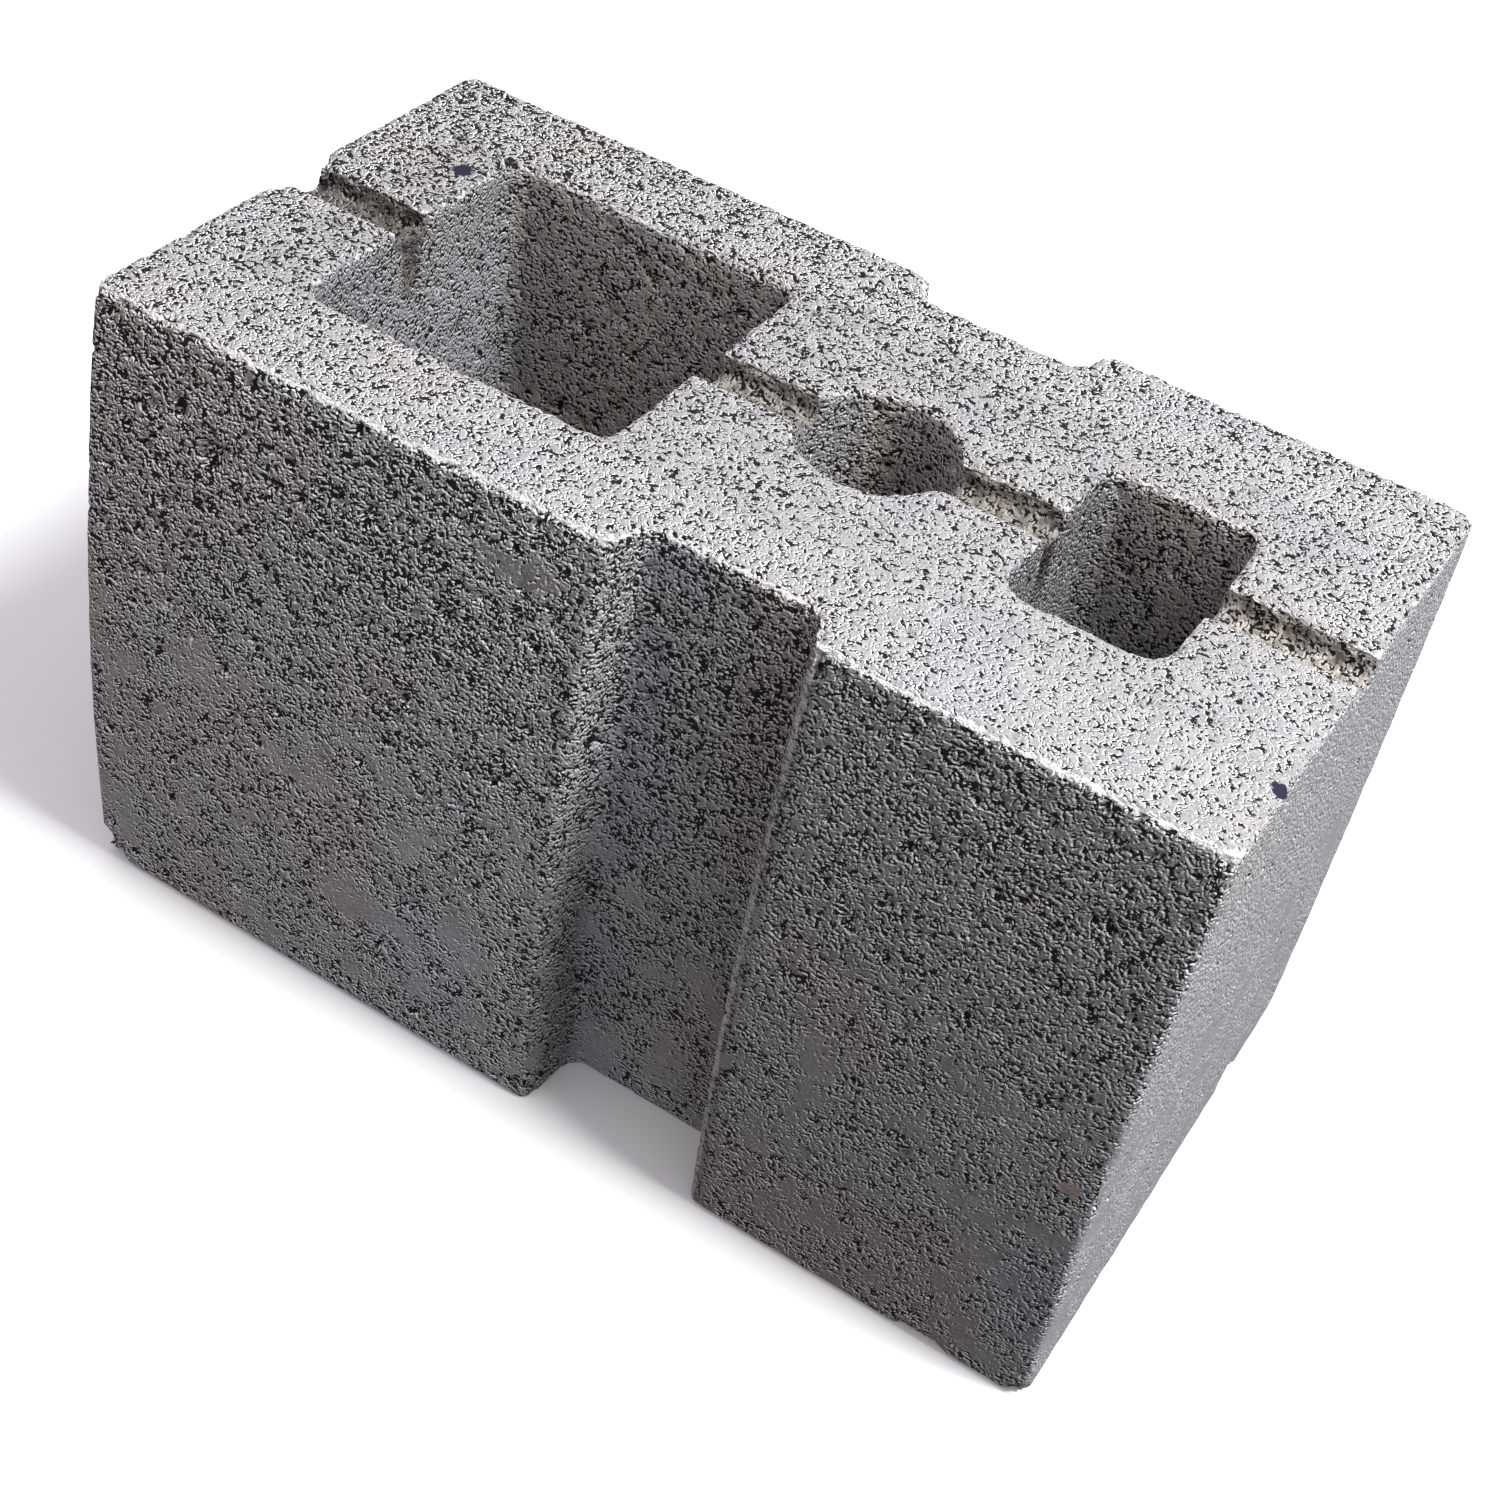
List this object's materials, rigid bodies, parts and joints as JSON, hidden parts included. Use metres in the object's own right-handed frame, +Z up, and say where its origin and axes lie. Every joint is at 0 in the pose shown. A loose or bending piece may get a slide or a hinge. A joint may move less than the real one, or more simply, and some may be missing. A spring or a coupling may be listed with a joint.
{
  "type": "hollow concrete block",
  "caption": "Cast hollow concrete building block with a large square core, a round hole, a small core, a shallow groove along its top and a recess down each long side",
  "frame": {"origin": "middle of the bottom face of the block", "axes": "+X along the length towards the small core, +Y across the width, +Z up as the block is laid"},
  "size_m": [0.39, 0.2218, 0.24],
  "materials": {
    "concrete": "rough, pitted"
  },
  "bodies": {
    "root": {"block": "concrete"}
  },
  "joints": []
}
